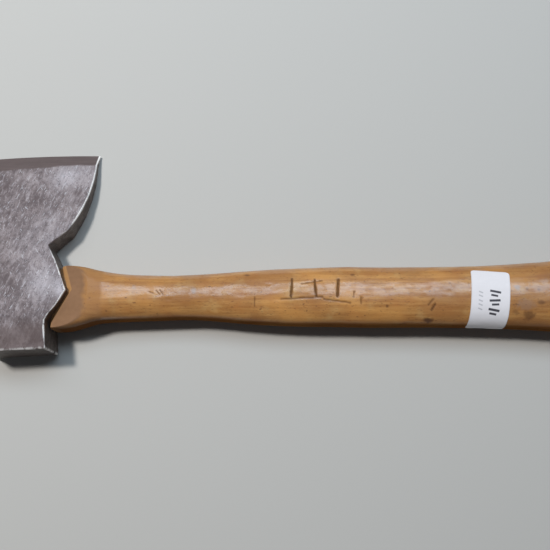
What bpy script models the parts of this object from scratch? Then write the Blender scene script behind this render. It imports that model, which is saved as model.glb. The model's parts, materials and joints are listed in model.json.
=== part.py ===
"""Small fire axe: a forged head with pointed ears, hung on a swelled wooden haft and wedged in its eye.

The axe is drawn in its own tool frame and then laid on its side, as it lies on a floor or a shelf.
Tool frame: the eye's centre is the origin, +X runs down the haft to the knob, +Y runs to the cutting
edge, and Z is the head's thickness, with the head symmetric about Z = 0.
"""

import math

import bmesh
import bpy
from mathutils import Matrix, Vector

MM = 0.001

# Head, in its own frame: half-width along the haft and half-thickness, both as functions of y
HANG_ANGLE = math.radians(3.0)  # the head is hung a little open on the haft
POLL_Y = -31.7 * MM
POLL_HALF_WIDTH = 18.3 * MM
NECK_Y = -20.0 * MM
EAR_ROOT_Y = -15.8 * MM
NECK_HALF_WIDTH = 17.3 * MM
EAR_FOOT_Y = -12.2 * MM
EAR_FOOT_HALF_WIDTH = 19.3 * MM
EAR_BELLY_Y = -8.0 * MM
EAR_BELLY_HALF_WIDTH = 22.8 * MM
EAR_TIP_Y = 1.2 * MM
EAR_TIP_HALF_WIDTH = 27.8 * MM
EAR_BOW = 0.5 * MM  # how far the ear's upper side bows outwards
NOTCH_Y = 29.2 * MM
NOTCH_HALF_WIDTH = 16.1 * MM
FLARE_RADIUS = 84.5 * MM
FLARE_CENTRE_X = -43.0 * MM
FLARE_CENTRE_Y = 85.7 * MM
FLARE_Y = 38.0 * MM
BEVEL_Y = 80.5 * MM
BEVEL_SKEW = 0.042  # the ground bevel narrows towards the haft's side of the blade
EDGE_Y = 89.0 * MM
EDGE_HALF_LENGTH = 43.0 * MM
EDGE_SAG = 1.4 * MM  # the cutting edge falls back this much at its two corners
POLL_HALF_THICKNESS = 11.7 * MM
CHEEK_Y = -14.0 * MM  # where the poll's facet meets the flat of the cheek
CHEEK_HALF_THICKNESS = 12.5 * MM
BEVEL_HALF_THICKNESS = 2.35 * MM
EDGE_HALF_THICKNESS = 0.12 * MM
CORNER_RADIUS = 0.8 * MM
CORNER_STEPS = 2
FACE_STEPS = 6

# Eye: an upright oval through the head along the haft, a little wider at its far mouth
EYE_HALF_LENGTH = 17.3 * MM
EYE_HALF_WIDTH = 7.35 * MM
EYE_LENGTH_TAPER = 0.025
EYE_WIDTH_TAPER = 0.016
EYE_ROUNDNESS = 2.6
EYE_REACH = 34.0 * MM
FIT_GAP = 0.3 * MM

# Haft: (x, half-width towards the edge, half-width towards the poll, half-thickness, roundness)
HAFT_STATIONS = (
    (18.0, 17.6, 18.8, 11.1, 5.5),
    (28.0, 18.0, 18.3, 11.0, 5.2),
    (36.0, 17.4, 16.4, 10.8, 4.4),
    (44.0, 15.8, 14.3, 10.6, 3.5),
    (60.0, 13.8, 13.5, 10.4, 2.6),
    (82.0, 13.0, 12.6, 10.2, 2.3),
    (100.0, 13.5, 12.5, 10.4, 2.3),
    (125.0, 15.3, 14.5, 10.9, 2.3),
    (150.0, 17.1, 16.1, 11.4, 2.3),
    (185.0, 17.8, 16.7, 11.6, 2.3),
    (240.0, 17.9, 17.0, 11.7, 2.3),
    (270.0, 18.8, 17.6, 11.9, 2.3),
    (300.0, 20.9, 19.2, 12.6, 2.3),
    (320.0, 22.6, 20.6, 12.9, 2.3),
    (340.0, 22.8, 20.8, 12.9, 2.3),
)
HAFT_SIDES = 32
HAFT_END_X = 338.0 * MM
KNOB_X = 319.0 * MM  # where the knob is thickest and touches what the axe lies on
DOME_X = 318.0 * MM
DOME_POWER = 3.0
SHOULDER_RINGS = 5
BODY_START_X = 44.0 * MM
BODY_RINGS = 26
DOME_RINGS = 6

# Shoulder: the haft's cheeks are planed flat down to the eye and end in a V that faces the ear. Both
# lines are (x, y) corners: the V itself, and the foot of its chamfer, which is wide on the upper arm
SHOULDER_TIP_X = 30.6 * MM
SHOULDER_LINE = ((20.3, -18.6), (20.6, -15.0), (30.6, 3.2), (25.8, 16.8))
CHAMFER_FOOT = ((19.5, -18.6), (19.8, -15.0), (28.6, 1.0), (28.6, 3.2), (27.4, 4.6), (23.7, 16.8))
CHAMFER_DROP = 0.8  # share of the haft's half-thickness left at the foot of the chamfer
CHAMFER_DRAW_IN = 0.985  # and the same of its half-width
PLANED_START_X = 39.5 * MM
PLANED_HALF_THICKNESS = 10.6 * MM
PLANED_SLOPE = 0.17
TENON_END_X = -24.0 * MM
TENON_EDGE = 0.8 * MM
TENON_RINGS = 5

# Wedges: one of wood in a saw kerf along the eye, and two of steel driven across it
KERF_DEPTH_X = 8.0 * MM
KERF_HALF_AT_END = 2.8 * MM
KERF_HALF_AT_ROOT = 0.9 * MM
WEDGE_TIP_X = 4.0 * MM
WEDGE_END_X = -24.5 * MM
WEDGE_HALF_LENGTH = 16.8 * MM
STEEL_WEDGE_END_X = -24.8 * MM
STEEL_WEDGE_TIP_X = -9.0 * MM
STEEL_WEDGE_HALF_WIDTH = 5.0 * MM
STEEL_WEDGE_HALF_AT_END = 1.3 * MM
STEEL_WEDGE_HALF_AT_TIP = 0.35 * MM
STEEL_WEDGE_Y = 7.5 * MM
STEEL_WEDGE_TURN = math.radians(32.0)

# Paper label wrapped over the haft, one cell of a common 65-up label sheet
LABEL_X = 263.8 * MM
LABEL_WIDTH = 21.2 * MM
LABEL_LENGTH = 38.1 * MM
LABEL_CORNER = 2.0 * MM
LABEL_TURN = math.radians(5.4)
LABEL_START_Y = 13.8 * MM  # the label's first edge, on the side towards the cutting edge
LABEL_THICKNESS = 0.3 * MM
LABEL_ROWS = 14
LABEL_COLUMNS = 6
WRAP_STEP = math.radians(0.25)

COLOURS = {
    "steel": ((0.24, 0.21, 0.21), 0.42, 1.0),
    "haft_wood": ((0.42, 0.20, 0.07), 0.35, 0.0),
    "wedge_wood": ((0.33, 0.20, 0.10), 0.7, 0.0),
    "wedge_steel": ((0.12, 0.10, 0.09), 0.55, 1.0),
    "paper": ((0.80, 0.80, 0.84), 0.6, 0.0),
}

# The axe lies on the flat of one cheek, so the tool frame is turned by the cheek's slope
CHEEK_SLOPE = (CHEEK_HALF_THICKNESS - BEVEL_HALF_THICKNESS) / (BEVEL_Y - CHEEK_Y)
CHEEK_ANGLE = math.atan(CHEEK_SLOPE)
EYE_HEIGHT = (CHEEK_HALF_THICKNESS + CHEEK_SLOPE * CHEEK_Y) * math.cos(CHEEK_ANGLE)


def between(x, x0, x1, v0, v1):
    """The value at x on the straight line from v0 at x0 to v1 at x1."""
    return v0 + (v1 - v0) * (x - x0) / (x1 - x0)


def head_half_width(y):
    """Half the head's width along the haft, from the poll up to the cutting edge."""
    if y <= NECK_Y:
        return between(y, POLL_Y, NECK_Y, POLL_HALF_WIDTH, NECK_HALF_WIDTH)
    if y <= EAR_ROOT_Y:
        return NECK_HALF_WIDTH
    if y <= EAR_FOOT_Y:
        return between(y, EAR_ROOT_Y, EAR_FOOT_Y, NECK_HALF_WIDTH, EAR_FOOT_HALF_WIDTH)
    if y <= EAR_BELLY_Y:
        return between(y, EAR_FOOT_Y, EAR_BELLY_Y, EAR_FOOT_HALF_WIDTH, EAR_BELLY_HALF_WIDTH)
    if y <= EAR_TIP_Y:
        return between(y, EAR_BELLY_Y, EAR_TIP_Y, EAR_BELLY_HALF_WIDTH, EAR_TIP_HALF_WIDTH)
    if y <= NOTCH_Y:
        along = (y - EAR_TIP_Y) / (NOTCH_Y - EAR_TIP_Y)
        straight = between(along, 0.0, 1.0, EAR_TIP_HALF_WIDTH, NOTCH_HALF_WIDTH)
        return straight + EAR_BOW * 4.0 * along * (1.0 - along)
    flare = math.sqrt(FLARE_RADIUS**2 - (min(y, BEVEL_Y) - FLARE_CENTRE_Y) ** 2) + FLARE_CENTRE_X
    if y <= FLARE_Y:
        start = math.sqrt(FLARE_RADIUS**2 - (FLARE_Y - FLARE_CENTRE_Y) ** 2) + FLARE_CENTRE_X
        return between(y, NOTCH_Y, FLARE_Y, NOTCH_HALF_WIDTH, start)
    if y <= BEVEL_Y:
        return flare
    return between(y, BEVEL_Y, EDGE_Y, flare, EDGE_HALF_LENGTH)


def head_half_thickness(y):
    """Half the head's thickness: poll facet, flat cheek and blade, then the ground bevel."""
    if y <= CHEEK_Y:
        return between(y, POLL_Y, CHEEK_Y, POLL_HALF_THICKNESS, CHEEK_HALF_THICKNESS)
    if y <= BEVEL_Y:
        return between(y, CHEEK_Y, BEVEL_Y, CHEEK_HALF_THICKNESS, BEVEL_HALF_THICKNESS)
    return between(y, BEVEL_Y, EDGE_Y, BEVEL_HALF_THICKNESS, EDGE_HALF_THICKNESS)


def rounded_rectangle(half_x, half_z, radius, corner_steps, face_steps):
    """Points round a rectangle with round corners, in the XZ plane, counter-clockwise from +X."""
    radius = min(radius, 0.9 * half_z)
    points = []
    for quarter, (sx, sz) in enumerate(((1, 1), (-1, 1), (-1, -1), (1, -1))):
        centre_x = sx * (half_x - radius)
        centre_z = sz * (half_z - radius)
        for step in range(corner_steps + 1):
            angle = (quarter + step / corner_steps) * math.pi / 2
            points.append((centre_x + radius * math.cos(angle), centre_z + radius * math.sin(angle)))
        if quarter in (0, 2):
            for step in range(1, face_steps):
                share = 1.0 - 2.0 * step / face_steps
                points.append((centre_x * share, sz * half_z))
    return points


def superellipse(angle, roundness):
    """(across, up) on a superellipse of unit size: 2 is an ellipse, larger is squarer."""
    c = math.cos(angle)
    up = max(0.0, 1.0 - abs(c) ** roundness) ** (1.0 / roundness)
    return c, math.copysign(up, math.sin(angle))


def mesh_from_rings(name, rings, pole=None):
    """A closed mesh through rings of equal count: the first end is one flat face, as is the last
    unless a pole closes it."""
    mesh = bpy.data.meshes.new(name)
    form = bmesh.new()
    rows = [[form.verts.new(point) for point in ring] for ring in rings]
    count = len(rows[0])
    for lower, upper in zip(rows, rows[1:]):
        for i in range(count):
            j = (i + 1) % count
            form.faces.new((lower[i], lower[j], upper[j], upper[i]))
    form.faces.new(rows[0])
    if pole is None:
        form.faces.new(rows[-1])
    else:
        tip = form.verts.new(pole)
        for i in range(count):
            form.faces.new((rows[-1][i], rows[-1][(i + 1) % count], tip))
    bmesh.ops.recalc_face_normals(form, faces=form.faces)
    form.to_mesh(mesh)
    form.free()
    return mesh


def make_material(name):
    colour, roughness, metallic = COLOURS[name]
    material = bpy.data.materials.new(name)
    material.use_nodes = True
    shader = material.node_tree.nodes["Principled BSDF"]
    shader.inputs["Base Color"].default_value = (*colour, 1.0)
    shader.inputs["Roughness"].default_value = roughness
    shader.inputs["Metallic"].default_value = metallic
    return material


def add_part(name, mesh, material_name, parent, smooth_angle=35.0):
    """Links a finished mesh to the scene as a named part of the axe."""
    mesh.materials.append(bpy.data.materials.get(material_name) or make_material(material_name))
    mesh.shade_smooth()
    mesh.set_sharp_from_angle(angle=math.radians(smooth_angle))
    part = bpy.data.objects.new(name, mesh)
    part.parent = parent
    bpy.context.scene.collection.objects.link(part)
    return part


def add_cutter(name, mesh, parent):
    cutter = bpy.data.objects.new(name, mesh)
    cutter.parent = parent
    cutter.hide_render = True
    cutter.display_type = "WIRE"
    bpy.context.scene.collection.objects.link(cutter)
    return cutter


def cut(part, cutter):
    boolean = part.modifiers.new("cut_" + cutter.name, "BOOLEAN")
    boolean.operation = "DIFFERENCE"
    boolean.solver = "EXACT"
    boolean.object = cutter


def eye_section(x, gap, sides):
    """One ring of the eye's wall at x, in the head's frame, drawn in by gap."""
    half_length = EYE_HALF_LENGTH - EYE_LENGTH_TAPER * x - gap
    half_width = EYE_HALF_WIDTH - EYE_WIDTH_TAPER * x - gap
    ring = []
    for i in range(sides):
        c, s = superellipse(2 * math.pi * i / sides, EYE_ROUNDNESS)
        ring.append(Vector((x, half_length * c, half_width * s)))
    return ring


def head_ring(y, inset=0.0, skew=0.0):
    """One ring round the head at y. The cutting edge bows back towards its corners, and a skewed ring
    leans along the blade while it stays on the flat of the cheeks."""
    half_x = head_half_width(y) - inset
    half_z = head_half_thickness(y) - inset
    on_bevel = max(0.0, (y - BEVEL_Y) / (EDGE_Y - BEVEL_Y))
    ring = []
    for x, z in rounded_rectangle(half_x, half_z, CORNER_RADIUS, CORNER_STEPS, FACE_STEPS):
        shift = skew * x - on_bevel * EDGE_SAG * (x / EDGE_HALF_LENGTH) ** 2
        thinned = z * (1.0 - CHEEK_SLOPE * skew * x / half_z)
        ring.append(Vector((x, y + shift, thinned)))
    return ring


def make_head(head_frame):
    """The forged head: one bar from poll to edge, with ears on its cheeks and the eye through it."""
    ear_steps = [between(i, 0, 3, EAR_TIP_Y, NOTCH_Y) for i in range(1, 3)]
    flare_steps = [between(i, 0, 8, FLARE_Y, BEVEL_Y) for i in range(1, 8)]
    levels = [POLL_Y + CORNER_RADIUS, NECK_Y, EAR_ROOT_Y, CHEEK_Y, EAR_FOOT_Y, EAR_BELLY_Y, EAR_TIP_Y]
    levels += [*ear_steps, NOTCH_Y, FLARE_Y, *flare_steps]
    rings = [head_ring(POLL_Y, inset=CORNER_RADIUS)] + [head_ring(y) for y in levels]
    rings += [head_ring(BEVEL_Y, skew=BEVEL_SKEW), head_ring(EDGE_Y)]
    head = add_part("axe_head", mesh_from_rings("axe_head", rings), "steel", head_frame)
    mouths = [eye_section(x, 0.0, HAFT_SIDES) for x in (-EYE_REACH, 0.0, EYE_REACH)]
    cut(head, add_cutter("eye_cutter", mesh_from_rings("eye_cutter", mouths), head_frame))
    return head


def haft_profile(x):
    """(half-width to the edge, half-width to the poll, half-thickness, roundness) at x."""
    rows = [(row[0] * MM, row[1] * MM, row[2] * MM, row[3] * MM, row[4]) for row in HAFT_STATIONS]
    x = min(max(x, rows[0][0]), rows[-1][0])
    i = next(k for k in range(len(rows) - 1) if x <= rows[k + 1][0])
    t = (x - rows[i][0]) / (rows[i + 1][0] - rows[i][0])
    before, after = rows[max(i - 1, 0)], rows[min(i + 2, len(rows) - 1)]
    here, there = rows[i], rows[i + 1]
    span = there[0] - here[0]
    values = []
    for k in range(1, 5):
        slope_here = (there[k] - before[k]) / (there[0] - before[0]) * span
        slope_there = (after[k] - here[k]) / (after[0] - here[0]) * span
        values.append(
            here[k] * (2 * t**3 - 3 * t**2 + 1)
            + slope_here * (t**3 - 2 * t**2 + t)
            + there[k] * (3 * t**2 - 2 * t**3)
            + slope_there * (t**3 - t**2)
        )
    return values


def haft_section(x, angle):
    """(y, z) on the haft's skin at x, before its centreline rises. The end is a flattened dome."""
    to_edge, to_poll, half_thickness, roundness = haft_profile(x)
    c, s = superellipse(angle, roundness)
    dome = max(0.0, (x - DOME_X) / (HAFT_END_X - DOME_X))
    shrink = max(0.0, 1.0 - dome**DOME_POWER) ** (1.0 / DOME_POWER)
    y = (to_edge if c > 0 else to_poll) * c * shrink
    z = half_thickness * s * shrink
    if x < PLANED_START_X:
        planed = PLANED_HALF_THICKNESS - PLANED_SLOPE * (PLANED_START_X - x)
        z = max(-planed, min(planed, z))
    return y, z


def haft_rise():
    """How far the haft's centreline rises at the knob, so that the knob touches the cheek's plane."""
    drops = []
    for i in range(HAFT_SIDES):
        y, z = haft_section(KNOB_X, 2 * math.pi * i / HAFT_SIDES)
        drops.append(y * math.sin(CHEEK_ANGLE) - z * math.cos(CHEEK_ANGLE))
    return (max(drops) - EYE_HEIGHT) / math.cos(CHEEK_ANGLE)


def haft_point(x, angle, rise):
    y, z = haft_section(x, angle)
    return Vector((x, y, z + rise * x / KNOB_X))


def line_x(y, corners):
    """The x at y on a line of straight runs through (x, y) corners in millimetres, flat past its ends."""
    low = corners[0]
    for high in corners[1:]:
        if y < high[1] * MM:
            return between(max(y, low[1] * MM), low[1] * MM, high[1] * MM, low[0] * MM, high[0] * MM)
        low = high
    return low[0] * MM


def tenon_point(x, angle):
    """A point on the tenon at x in the head's frame, turned into the tool frame."""
    half_length = EYE_HALF_LENGTH - EYE_LENGTH_TAPER * x - FIT_GAP
    half_width = EYE_HALF_WIDTH - EYE_WIDTH_TAPER * x - FIT_GAP
    c, s = superellipse(angle, EYE_ROUNDNESS)
    return Matrix.Rotation(HANG_ANGLE, 3, "Z") @ Vector((x, half_length * c, half_width * s))


def haft_rings(rise):
    """Every ring of the haft from the tenon's far end to the knob's dome."""
    angles = [2 * math.pi * i / HAFT_SIDES for i in range(HAFT_SIDES)]
    starts, roots = [], []
    for angle in angles:
        y, _ = haft_section(SHOULDER_TIP_X, angle)
        starts.append(line_x(y, SHOULDER_LINE))
        across = (EYE_HALF_LENGTH - FIT_GAP) * superellipse(angle, EYE_ROUNDNESS)[0]
        foot = line_x(y, CHAMFER_FOOT)
        roots.append((foot + across * math.sin(HANG_ANGLE)) / math.cos(HANG_ANGLE))
    chamfered = []
    for angle in angles:
        middle = tenon_point(TENON_END_X, angle)
        axis = Matrix.Rotation(HANG_ANGLE, 3, "Z") @ Vector((TENON_END_X, 0, 0))
        chamfered.append(middle - (middle - axis).normalized() * TENON_EDGE)
    rings = [chamfered]
    for step in range(TENON_RINGS):
        share = step / TENON_RINGS
        from_x = TENON_END_X + TENON_EDGE
        rings.append([tenon_point(from_x + (r - from_x) * share, a) for r, a in zip(roots, angles)])
    tenon_root = [tenon_point(r, a) for r, a in zip(roots, angles)]
    outer = [haft_point(s, a, rise) for s, a in zip(starts, angles)]
    chamfer_foot = []
    for inner, edge in zip(tenon_root, outer):
        chamfer_foot.append(Vector((inner.x, edge.y * CHAMFER_DRAW_IN, edge.z * CHAMFER_DROP)))
    rings += [tenon_root, chamfer_foot, outer]
    for step in range(1, SHOULDER_RINGS):
        share = step / SHOULDER_RINGS
        ring = [haft_point(s + (BODY_START_X - s) * share, a, rise) for s, a in zip(starts, angles)]
        rings.append(ring)
    for step in range(BODY_RINGS):
        x = between(step, 0, BODY_RINGS - 1, BODY_START_X, DOME_X)
        rings.append([haft_point(x, a, rise) for a in angles])
    for step in range(1, DOME_RINGS):
        x = DOME_X + (HAFT_END_X - DOME_X) * math.sin(step / DOME_RINGS * math.pi / 2)
        rings.append([haft_point(x, a, rise) for a in angles])
    return rings


def tapered_block(name, x_end, x_tip, half_y, half_z_end, half_z_tip):
    """A wedge whose thickness, along Z, shrinks from x_end to x_tip."""
    corners = ((1, 1), (-1, 1), (-1, -1), (1, -1))
    rings = []
    for x, half_z in ((x_end, half_z_end), (x_tip, half_z_tip)):
        rings.append([Vector((x, half_y * sy, half_z * sz)) for sy, sz in corners])
    return mesh_from_rings(name, rings)


def steel_wedge_mesh(name, side, gap):
    """A steel wedge set across the eye on one side of its centre; gap grows it into its own slot."""
    end = STEEL_WEDGE_END_X - 10 * gap
    mesh = tapered_block(
        name,
        end,
        STEEL_WEDGE_TIP_X + gap,
        STEEL_WEDGE_HALF_WIDTH + gap,
        STEEL_WEDGE_HALF_AT_END + gap,
        STEEL_WEDGE_HALF_AT_TIP + gap,
    )
    turn = Matrix.Rotation(math.pi / 2 - side * STEEL_WEDGE_TURN, 4, "X")
    mesh.transform(Matrix.Translation((0, side * STEEL_WEDGE_Y, 0)) @ turn)
    return mesh


def make_haft_and_wedges(tool_frame, head_frame, rise):
    """The haft with its kerf and slots, the wooden wedge in the kerf and the two steel wedges."""
    pole = Vector((HAFT_END_X, 0, rise * HAFT_END_X / KNOB_X))
    haft = add_part("haft", mesh_from_rings("haft", haft_rings(rise), pole), "haft_wood", tool_frame)
    kerf = tapered_block(
        "kerf_cutter",
        TENON_END_X - 3 * TENON_EDGE,
        KERF_DEPTH_X,
        EYE_HALF_LENGTH + 5 * TENON_EDGE,
        KERF_HALF_AT_END,
        KERF_HALF_AT_ROOT,
    )
    cut(haft, add_cutter("kerf_cutter", kerf, head_frame))
    wedge_mesh = tapered_block(
        "eye_wedge",
        WEDGE_END_X,
        WEDGE_TIP_X,
        WEDGE_HALF_LENGTH,
        KERF_HALF_AT_END - FIT_GAP,
        KERF_HALF_AT_ROOT - FIT_GAP,
    )
    wedge = add_part("eye_wedge", wedge_mesh, "wedge_wood", head_frame)
    for side, name in ((1, "steel_wedge_front"), (-1, "steel_wedge_back")):
        add_part(name, steel_wedge_mesh(name, side, 0.0), "wedge_steel", head_frame)
        slot = add_cutter(name + "_slot", steel_wedge_mesh(name + "_slot", side, FIT_GAP), head_frame)
        cut(haft, slot)
        cut(wedge, slot)


def wrap_angle(x, distance):
    """The section angle at x that lies this far round the haft's skin from the label's first edge."""
    angle = math.acos(LABEL_START_Y / haft_profile(x)[0])
    y0, z0 = haft_section(x, angle)
    walked = 0.0
    while walked < distance:
        angle += WRAP_STEP
        y1, z1 = haft_section(x, angle)
        walked += math.hypot(y1 - y0, z1 - z0)
        y0, z0 = y1, z1
    return angle


def skin_normal(x, angle):
    """The outward direction of the haft's skin, square to its own section."""
    y0, z0 = haft_section(x, angle - WRAP_STEP)
    y1, z1 = haft_section(x, angle + WRAP_STEP)
    return Vector((0, z1 - z0, y0 - y1)).normalized()


def make_label(tool_frame, rise):
    """The paper label: a thin sheet with round corners that follows the haft's skin."""
    ends = (0.0, 0.3 * LABEL_CORNER)
    last = LABEL_LENGTH - LABEL_CORNER
    body = [between(i, 0, LABEL_ROWS, LABEL_CORNER, last) for i in range(LABEL_ROWS + 1)]
    lengths = [*ends, *body, LABEL_LENGTH - ends[1], LABEL_LENGTH]
    rings = []
    for length in lengths:
        from_end = min(length, LABEL_LENGTH - length, LABEL_CORNER)
        cut_back = LABEL_CORNER - math.sqrt(LABEL_CORNER**2 - (LABEL_CORNER - from_end) ** 2)
        half = LABEL_WIDTH / 2 - cut_back
        under, over = [], []
        for column in range(LABEL_COLUMNS + 1):
            across = between(column, 0, LABEL_COLUMNS, -half, half)
            x = LABEL_X + across * math.cos(LABEL_TURN) - (length - LABEL_LENGTH / 2) * math.sin(LABEL_TURN)
            round_skin = length * math.cos(LABEL_TURN) + (across + LABEL_WIDTH / 2) * math.sin(LABEL_TURN)
            angle = wrap_angle(x, round_skin)
            normal = skin_normal(x, angle)
            under.append(haft_point(x, angle, rise) + normal * FIT_GAP)
            over.append(haft_point(x, angle, rise) + normal * (FIT_GAP + LABEL_THICKNESS))
        rings.append(under + over[::-1])
    add_part("paper_label", mesh_from_rings("paper_label", rings), "paper", tool_frame)


def main():
    for old in list(bpy.data.objects):
        bpy.data.objects.remove(old)
    tool_frame = bpy.data.objects.new("tool_frame", None)
    tool_frame.location = (0, 0, EYE_HEIGHT)
    tool_frame.rotation_euler = (-CHEEK_ANGLE, 0, 0)
    bpy.context.scene.collection.objects.link(tool_frame)
    head_frame = bpy.data.objects.new("head_frame", None)
    head_frame.rotation_euler = (0, 0, HANG_ANGLE)
    head_frame.parent = tool_frame
    bpy.context.scene.collection.objects.link(head_frame)
    rise = haft_rise()
    make_head(head_frame)
    make_haft_and_wedges(tool_frame, head_frame, rise)
    make_label(tool_frame, rise)


main()
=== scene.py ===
"""Looks of the small fire axe: worn forged head, varnished haft with knife cuts, wedges and paper label.

Each CAD node is replaced by a finer mesh of the same form. Shapes are worked out in millimetres in
the axe's tool frame, where the eye's centre is the origin, +X runs down the haft, +Y to the cutting
edge and Z is the head's thickness, and are then laid down in the row frame, in metres.
"""

import functools
import json
import math

import bpy
import numpy as np
from mathutils import Matrix, Vector


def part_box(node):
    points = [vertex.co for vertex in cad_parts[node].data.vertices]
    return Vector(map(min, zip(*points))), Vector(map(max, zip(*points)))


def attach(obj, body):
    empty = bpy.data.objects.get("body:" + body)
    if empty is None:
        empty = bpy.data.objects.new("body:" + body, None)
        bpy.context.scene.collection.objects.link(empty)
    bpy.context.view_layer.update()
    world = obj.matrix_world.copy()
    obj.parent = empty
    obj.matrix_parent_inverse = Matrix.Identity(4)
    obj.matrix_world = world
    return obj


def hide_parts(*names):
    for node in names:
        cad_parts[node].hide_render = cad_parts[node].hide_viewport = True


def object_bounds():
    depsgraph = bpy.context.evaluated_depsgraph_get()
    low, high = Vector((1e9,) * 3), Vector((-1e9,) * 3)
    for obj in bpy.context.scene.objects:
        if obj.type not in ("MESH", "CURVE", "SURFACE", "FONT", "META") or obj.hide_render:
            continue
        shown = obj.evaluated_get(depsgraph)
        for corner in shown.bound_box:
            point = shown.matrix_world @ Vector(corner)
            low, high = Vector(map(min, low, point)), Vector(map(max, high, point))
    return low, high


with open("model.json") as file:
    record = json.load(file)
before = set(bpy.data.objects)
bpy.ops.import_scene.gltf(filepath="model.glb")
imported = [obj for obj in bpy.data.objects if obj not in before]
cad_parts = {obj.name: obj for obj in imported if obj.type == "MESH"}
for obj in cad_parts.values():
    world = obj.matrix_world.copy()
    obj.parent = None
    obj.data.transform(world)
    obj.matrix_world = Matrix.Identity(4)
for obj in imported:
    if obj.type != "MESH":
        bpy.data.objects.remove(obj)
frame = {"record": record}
cad_low, cad_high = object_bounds()

MM = 0.001
SEED = 7

rest_face = next(mount for mount in frame["record"]["mounts"] if mount["name"] == "cheek_rest_face")
haft_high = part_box("haft")[1]

# Head: half-width along the haft and half-thickness, as straight runs and arcs in y
HANG_ANGLE = math.radians(3.0)
POLL_Y, CHEEK_Y, BEVEL_Y, EDGE_Y = -31.7, -14.0, 80.5, 89.0
OUTLINE_BELOW_EAR = ((-31.7, 18.3), (-20.0, 17.3), (-15.8, 17.3), (-12.2, 19.3), (-8.0, 22.8), (1.2, 27.8))
EAR_TIP_Y, EAR_TIP_HALF_WIDTH, EAR_BOW = 1.2, 27.8, 0.5
NOTCH_Y, NOTCH_HALF_WIDTH = 29.2, 16.1
FLARE_RADIUS, FLARE_CENTRE_X, FLARE_CENTRE_Y, FLARE_Y = 84.5, -43.0, 85.7, 38.0
EDGE_HALF_LENGTH, EDGE_SAG = 43.0, 1.4
POLL_HALF_THICKNESS, CHEEK_HALF_THICKNESS, BEVEL_HALF_THICKNESS, EDGE_HALF_THICKNESS = 11.7, 12.5, 2.35, 0.12
BEVEL_SKEW = 0.042  # the ground bevel narrows towards the haft's side of the blade
GRIND_WAVES = ((0.25, 5.0, 0.0), (0.12, 1.9, 1.0))  # (height, x for each radian, phase) of the grind line
HEAD_CORNER, CORNER_LIMIT = 0.8, 0.9  # radius, and how much of the half-thickness it may take
HEAD_RING_STEP = 0.55
FACE_COLUMNS, CORNER_COLUMNS, SIDE_COLUMNS = 110, 5, 14
CAP_START, CAP_RINGS, CORNER_RINGS = 0.05, 16, 3

# Eye and the tenon in it
EYE_HALF_LENGTH, EYE_HALF_WIDTH = 17.3, 7.35
EYE_LENGTH_TAPER, EYE_WIDTH_TAPER, EYE_ROUNDNESS = 0.025, 0.016, 2.6
EYE_REACH, EYE_RINGS, EYE_SIDES = 34.0, 9, 96
FIT_GAP = 0.3
TENON_END_X, TENON_BULGE, TENON_SETBACK = -24.0, 0.35, 0.8

# Haft: (x, half-width towards the edge, half-width towards the poll, half-thickness, roundness)
HAFT_STATIONS = np.array((
    (18.0, 17.6, 18.8, 11.1, 5.5),
    (28.0, 18.0, 18.3, 11.0, 5.2),
    (36.0, 17.4, 16.4, 10.8, 4.4),
    (44.0, 15.8, 14.3, 10.6, 3.5),
    (60.0, 13.8, 13.5, 10.4, 2.6),
    (82.0, 13.0, 12.6, 10.2, 2.3),
    (100.0, 13.5, 12.5, 10.4, 2.3),
    (125.0, 15.3, 14.5, 10.9, 2.3),
    (150.0, 17.1, 16.1, 11.4, 2.3),
    (185.0, 17.8, 16.7, 11.6, 2.3),
    (240.0, 17.9, 17.0, 11.7, 2.3),
    (270.0, 18.8, 17.6, 11.9, 2.3),
    (300.0, 20.9, 19.2, 12.6, 2.3),
    (320.0, 22.6, 20.6, 12.9, 2.3),
    (340.0, 22.8, 20.8, 12.9, 2.3),
))
HAFT_SIDES = 184
HAFT_RING_STEP = 0.64
TENON_CAP_SHARES, TENON_CAP_RINGS, TENON_RINGS = (0.1, 0.96), 10, 12
STEP_RINGS, SHOULDER_RINGS, DOME_RINGS = 7, 28, 26
HAFT_END_X, KNOB_X, DOME_X, DOME_POWER = haft_high[0] / MM, 319.0, 318.0, 3.0
BODY_START_X = 44.0
SHOULDER_TIP_X = 30.6
SHOULDER_LINE = ((-18.6, 20.3), (-15.0, 20.6), (3.2, 30.6), (16.8, 25.8))  # (y, x) along the V
CHAMFER_FOOT = ((-18.6, 19.5), (-15.0, 19.8), (1.0, 28.6), (3.2, 28.6), (4.6, 27.4), (16.8, 23.7))
CHAMFER_DROP, CHAMFER_DRAW_IN, CHAMFER_ROUNDING = 0.8, 0.985, 0.18
PLANED_START_X, PLANED_HALF_THICKNESS, PLANED_SLOPE = 39.5, 10.6, 0.17
NOT_PLANED = 99.0  # thicker than the haft anywhere

# Wedges in the eye
KERF_DEPTH_X, KERF_HALF_AT_END, KERF_HALF_AT_ROOT = 8.0, 2.8, 0.9
KERF_PAST_END, KERF_PAST_SIDES = 2.4, 4
WEDGE_END_X, WEDGE_TIP_X, WEDGE_HALF_LENGTH = -24.5, 4.0, 16.8
STEEL_END_X, STEEL_TIP_X, STEEL_HALF_WIDTH = -24.8, -9.0, 5.0
STEEL_HALF_AT_END, STEEL_HALF_AT_TIP, STEEL_Y, STEEL_TURN = 1.3, 0.35, 7.5, math.radians(32.0)
SLOT_PAST_END = 10  # how many gaps a steel wedge's slot runs past the wedge's end
WEDGE_RINGS, WEDGE_SIDE_COLUMNS, WEDGE_COLUMNS, WOOD_WEDGE_COLUMNS = 14, 4, 12, 30

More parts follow.
